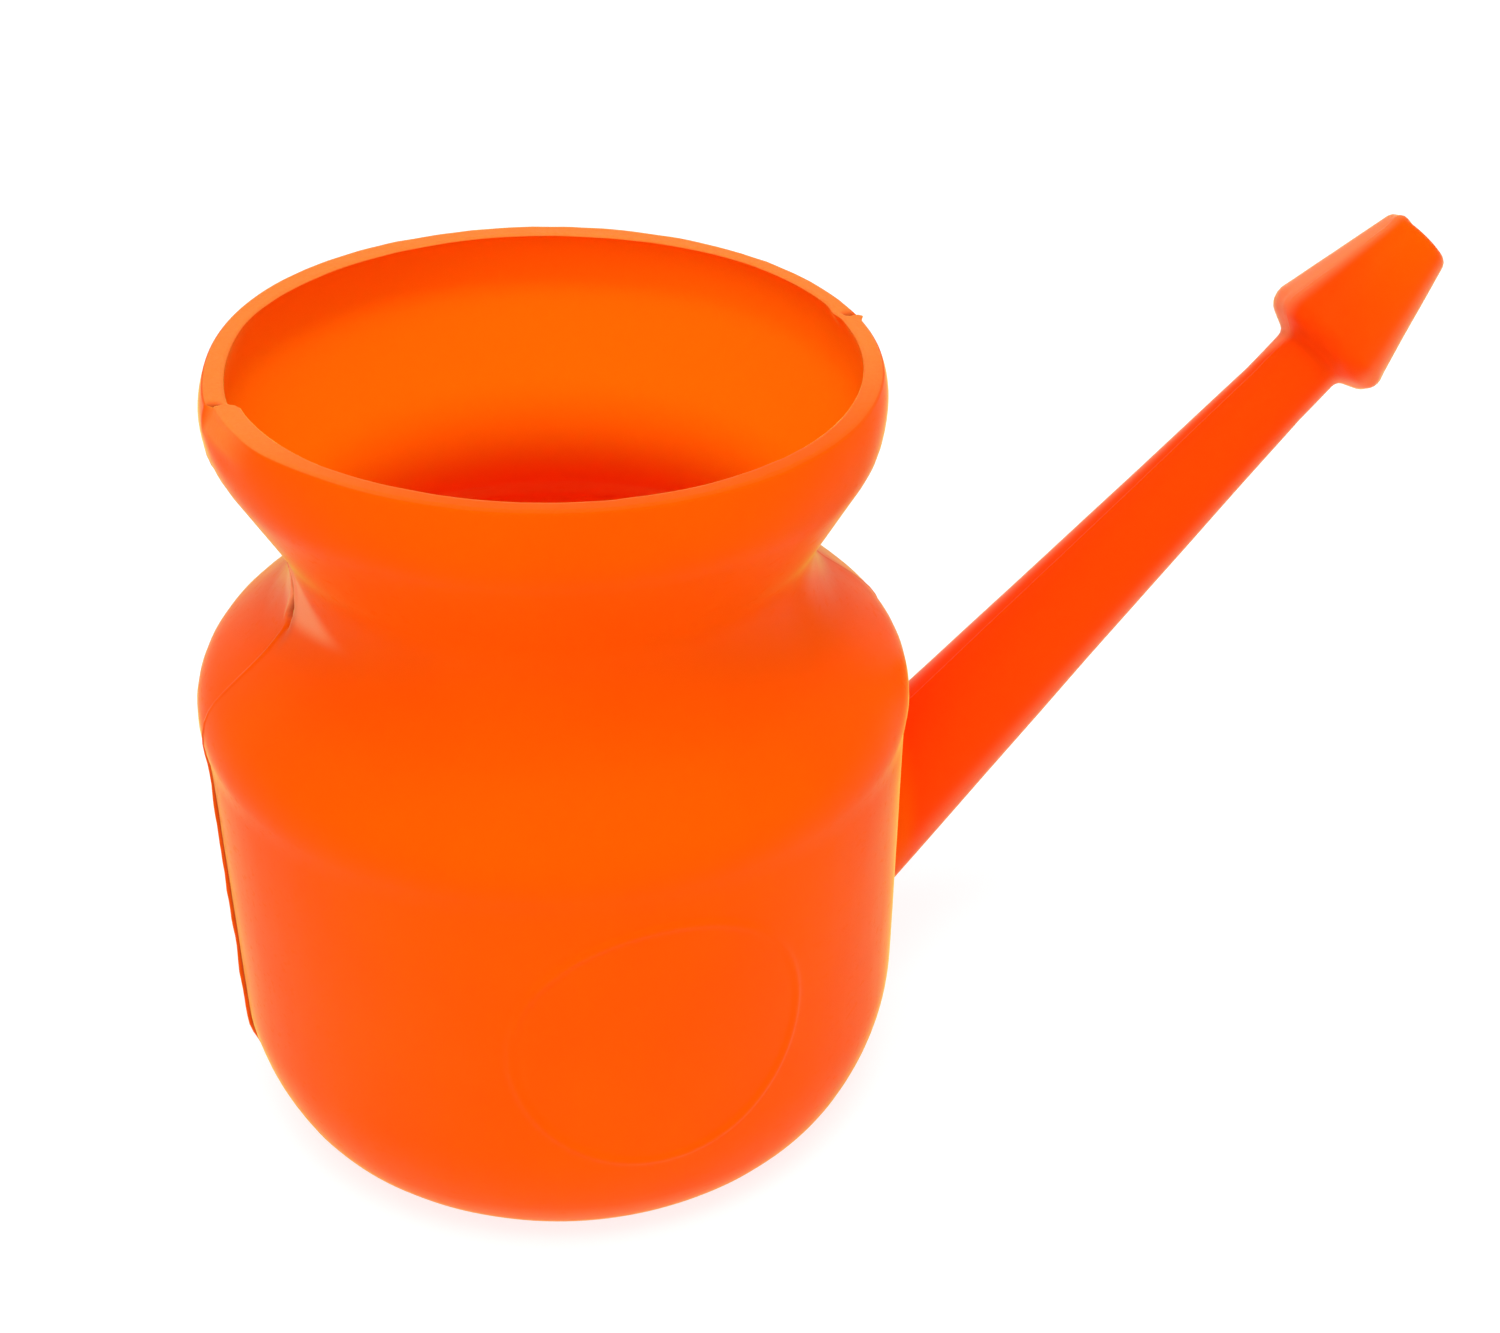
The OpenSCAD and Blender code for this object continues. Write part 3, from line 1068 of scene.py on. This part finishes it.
class Tree:
    """The nodes of one material or world."""

    def __init__(self, owner):
        owner.use_nodes = True
        self.nodes = owner.node_tree.nodes
        self.links = owner.node_tree.links
        self.nodes.clear()

    def add(self, kind, settings=None, values=None, output=0):
        """A node of this type: its settings first, then the values or links of its sockets."""
        node = self.nodes.new(kind)
        for name, value in (settings or {}).items():
            setattr(node, name, value)
        for name, value in (values or {}).items():
            value = value.value if isinstance(value, Socket) else value
            if isinstance(value, bpy.types.NodeSocket):
                self.links.new(value, node.inputs[name])
            else:
                node.inputs[name].default_value = value
        return Socket(self, node.outputs[output]) if node.outputs else node

    def mix(self, share, first, second):
        """One colour turning into another."""
        return self.add(
            "ShaderNodeMix",
            {"data_type": "RGBA"},
            {"Factor": share, 6: first, 7: second},
            output=2,
        )


def rgba(value):
    """A colour with full alpha."""
    return (*value, 1.0)


def moulded_plastic(look, pot):
    """Dyed plastic: an almost even orange with faint clouds, a skin with the mould's fine grain
    and streaks of drawn plastic up the wall, an inner face painted lighter and yellower as painted
    light, and a tube painted redder as painted shade. It is paler and rougher where it is cut,
    palest towards the back of the rim as a painted reflection, with painted sheen in pale bands and
    painted shade in the fold, the nick and beside the seam and flash."""
    material = bpy.data.materials.new("moulded_plastic")
    tree = Tree(material)
    place = tree.add("ShaderNodeTexCoord", output=3)
    apart = tree.add("ShaderNodeSeparateXYZ", values={0: place}).value.node.outputs
    x, height = Socket(tree, apart[0]), Socket(tree, apart[2])
    within, cut, strained, dark = (
        tree.add("ShaderNodeAttribute", {"attribute_name": name}, output=2) for name in LAYERS
    )

    # Clouds in the dye, streaks along the wall's height, fine grain and crosswise scuffs
    cloud = tree.add("ShaderNodeTexNoise", values={0: place, "Scale": 38.0, "Detail": 2.0})
    drawn = tree.add(
        "ShaderNodeVectorMath", {"operation": "MULTIPLY"}, {0: place, 1: (1.0, 1.0, 0.16)}
    )
    streak = tree.add("ShaderNodeTexNoise", values={0: drawn, "Scale": 420.0, "Detail": 3.0})
    grain = tree.add("ShaderNodeTexNoise", values={0: place, "Scale": 2600.0, "Detail": 2.0})
    scuff = tree.add(
        "ShaderNodeVectorMath", {"operation": "MULTIPLY"}, {0: place, 1: (0.35, 1.0, 1.6)}
    )
    scuff = tree.add("ShaderNodeTexNoise", values={0: scuff, "Scale": 900.0, "Detail": 1.0})

    # Where the dye is denser, the colour is a little darker and redder
    deeper = tuple(c * f for c, f in zip(look.dyed, (0.985, 0.86, 1.0)))
    skin = tree.mix(cloud.between(0.35, 0.7) * 0.6 + streak * 0.25, rgba(look.dyed), rgba(deeper))
    # The inner face is painted lighter and yellower, more so far below the rim, as painted light
    depth = height.between(pot.height - 6 * MM, 60 * MM)
    inner_painted_light = tree.mix(depth, rgba(look.within), rgba(look.deep_painted_light))
    skin = tree.mix(within, skin, inner_painted_light)
    # The tube's redder colour is painted shade; it starts clear of the wall and fades out along the
    # nose piece
    tube = x.between(*mm(45, 48)) * x.between(*mm(120, 104))
    skin = tree.mix(tube, skin, rgba(look.tube))
    # The cut rim and shaved strip are paler; the rim's grading towards the back is a painted
    # reflection
    skin = tree.mix(cut * (0.75 + grain * 0.4), skin, rgba(look.cut))
    # Painted sheen and reflection in pale bands
    skin = tree.mix(strained, skin, rgba(look.strained))
    # Painted shade in the fold, the nick and beside the seam and flash
    skin = tree.mix(dark, skin, rgba(look.shade))
    gloss = look.roughness + (streak - 0.5) * 0.1 + scuff.between(0.62, 0.72) * 0.1 + cut * 0.25
    relief = grain * 0.35 + streak * 0.9 + cut * scuff * 3.0
    bump = tree.add(
        "ShaderNodeBump",
        values={"Strength": 0.22, "Distance": 0.00006, "Height": relief},
    )
    shader = tree.add(
        "ShaderNodeBsdfPrincipled",
        values={
            "Base Color": skin,
            "Roughness": gloss,
            "IOR": 1.5,
            "Specular IOR Level": 0.03,
            "Specular Tint": (1.0, 0.3, 0.01, 1.0),
            "Sheen Weight": 1.0,
            "Sheen Roughness": 0.19,
            "Sheen Tint": (0.85, 0.85, 0.15, 1.0),
            "Subsurface Weight": 0.2,
            "Subsurface Radius": (1.0, 0.35, 0.05),
            "Subsurface Scale": 0.004,
            "Normal": bump,
        },
    )
    tree.add("ShaderNodeOutputMaterial", values={"Surface": shader})
    return material


def floor_paint(studio):
    """Matt pale floor. The camera sees it as white, darker only in the pot's shadow."""
    material = bpy.data.materials.new("studio_floor")
    tree = Tree(material)
    paint = tree.add(
        "ShaderNodeBsdfPrincipled",
        values={
            "Base Color": rgba(studio.floor_colour),
            "Roughness": 0.9,
            "Specular IOR Level": 0.1,
        },
    )
    shaded = tree.add("ShaderNodeBsdfDiffuse", values={"Color": (0.35, 0.35, 0.35, 1)})
    glow = tree.add("ShaderNodeEmission", values={"Color": (1, 1, 1, 1), "Strength": 0.75})
    seen = tree.add("ShaderNodeAddShader", values={0: shaded, 1: glow})
    camera = tree.add("ShaderNodeLightPath")
    surface = tree.add("ShaderNodeMixShader", values={0: camera, 1: paint, 2: seen})
    tree.add("ShaderNodeOutputMaterial", values={"Surface": surface})
    return material


def daylight(studio):
    """Even white surroundings, seen as plain white and lighting the pot more softly."""
    world = bpy.data.worlds.new("studio_daylight")
    bpy.context.scene.world = world
    tree = Tree(world)
    rays = tree.add("ShaderNodeLightPath").value.node.outputs
    seen = Socket(tree, rays["Is Camera Ray"]).maths("MAXIMUM", Socket(tree, rays["Is Glossy Ray"]))
    seen = seen.maths("MAXIMUM", Socket(tree, rays["Is Transmission Ray"]))
    place = tree.add("ShaderNodeTexCoord")
    apart = tree.add("ShaderNodeSeparateXYZ", values={0: place})
    height = Socket(tree, apart.value.node.outputs[2]).between(0.0, 1.0)
    light = studio.daylight + height * (studio.overhead - studio.daylight)
    strength = light + seen * (1.0 - light)
    light = tree.add("ShaderNodeBackground", values={"Color": (1, 1, 1, 1), "Strength": strength})
    tree.add("ShaderNodeOutputWorld", values={"Surface": light})


def soft_lamp(name, place, size, watts):
    """A rectangular lamp that faces the middle of the pot."""
    data = bpy.data.lights.new(name, "AREA")
    data.shape = "RECTANGLE"
    data.size, data.size_y = size
    data.energy = watts
    lamp = bpy.data.objects.new(name, data)
    lamp.location = place
    towards = Vector((0, 0, 50 * MM)) - Vector(place)
    lamp.rotation_euler = towards.to_track_quat("-Z", "Y").to_euler()
    bpy.context.scene.collection.objects.link(lamp)


# Operators


def settings():
    """The values that the panel shows."""
    return bpy.context.scene.neti_pot


class NETIPOT_OT_moulding(bpy.types.Operator):
    """Pot, spout and nose piece as one hollow moulding with its seam and its cut rim"""

    bl_idname = "neti_pot.moulding"
    bl_label = "Add the moulded pot"

    def execute(self, context):
        sizes = settings()
        moulding = Moulding(sizes.pot, sizes.spout, sizes.marks)
        piece = moulding.skin.finished("moulded_pot")
        piece.data.materials.append(moulded_plastic(sizes.look, sizes.pot))
        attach(piece, BODY)
        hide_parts(NODE)
        return {"FINISHED"}


class NETIPOT_OT_studio(bpy.types.Operator):
    """White floor and surroundings, soft lamps and the camera"""

    bl_idname = "neti_pot.studio"
    bl_label = "Add floor, light and camera"

    # Each lamp's name, its place and its width and height, in metres
    LAMPS = (
        ("left", (-1.05, -0.6, 0.5), (0.9, 0.7)),
        ("right", (0.6, -1.05, 0.5), (0.9, 0.7)),
        ("top", (-0.1, -0.3, 1.15), (0.5, 0.5)),
    )

    def execute(self, context):
        studio = settings().studio
        scene = context.scene
        bm = bmesh.new()
        bmesh.ops.create_circle(bm, cap_ends=True, segments=96, radius=studio.floor_size / 2)
        mesh = bpy.data.meshes.new("studio_floor")
        bm.to_mesh(mesh)
        bm.free()
        floor = bpy.data.objects.new("studio_floor", mesh)
        scene.collection.objects.link(floor)
        mesh.materials.append(floor_paint(studio))

        daylight(studio)
        for name, place, size in self.LAMPS:
            soft_lamp(name + "_lamp", place, size, getattr(studio, name))

        data = bpy.data.cameras.new("camera")
        data.sensor_fit = "HORIZONTAL"
        data.sensor_width = 36.0
        data.lens = studio.lens
        data.shift_x, data.shift_y = studio.shift
        data.clip_start, data.clip_end = 0.01, 50.0
        camera = bpy.data.objects.new("camera", data)
        turned = Matrix.Rotation(-studio.heading, 4, "Z")
        turned = turned @ Matrix.Rotation(pi / 2 - studio.look_down, 4, "X")
        turned = turned @ Matrix.Rotation(studio.roll, 4, "Z")
        camera.matrix_world = Matrix.Translation(Vector(studio.camera_at)) @ turned
        scene.collection.objects.link(camera)
        scene.camera = camera
        scene.view_settings.view_transform = "Standard"
        # The light inside the pot needs many turns between its walls
        scene.cycles.diffuse_bounces = 18
        return {"FINISHED"}


class NetiPotSettings(bpy.types.PropertyGroup):
    """Everything that can be changed"""

    pot: PointerProperty(type=PotSizes, name="Pot", description="Outline of the pot")
    spout: PointerProperty(type=SpoutSizes, name="Spout", description="Spout and nose piece")
    marks: PointerProperty(type=MouldMarks, name="Marks", description="Marks of mould and knife")
    look: PointerProperty(type=PlasticLook, name="Plastic", description="The dyed plastic")
    studio: PointerProperty(type=StudioSet, name="Studio", description="Camera, lamps and floor")


class NETIPOT_PT_panel(bpy.types.Panel):
    """Every operator, and every value by its group"""

    bl_idname = "NETIPOT_PT_panel"
    bl_label = "Neti Pot"
    bl_space_type = "VIEW_3D"
    bl_region_type = "UI"
    bl_category = "Neti Pot"

    def draw(self, context):
        layout = self.layout
        for operator in STEPS:
            layout.operator(operator.bl_idname)
        for name in ("pot", "spout", "marks", "look", "studio"):
            box = layout.box()
            box.label(text=name.capitalize())
            group = getattr(settings(), name)
            for prop in group.__annotations__:
                box.prop(group, prop)


STEPS = (NETIPOT_OT_moulding, NETIPOT_OT_studio)
CLASSES = (
    PotSizes,
    SpoutSizes,
    MouldMarks,
    PlasticLook,
    StudioSet,
    NetiPotSettings,
    *STEPS,
    NETIPOT_PT_panel,
)


def register():
    """Adds the classes and the scene's values to Blender."""
    for cls in CLASSES:
        bpy.utils.register_class(cls)
    bpy.types.Scene.neti_pot = PointerProperty(
        type=NetiPotSettings, name="Neti pot", description="The pot's sizes, marks and colours"
    )


def unregister():
    """Takes them out again."""
    del bpy.types.Scene.neti_pot
    for cls in reversed(CLASSES):
        bpy.utils.unregister_class(cls)


def main():
    """Builds pot and studio."""
    register()
    bpy.ops.neti_pot.moulding()
    bpy.ops.neti_pot.studio()


if __name__ == "__main__":
    main()
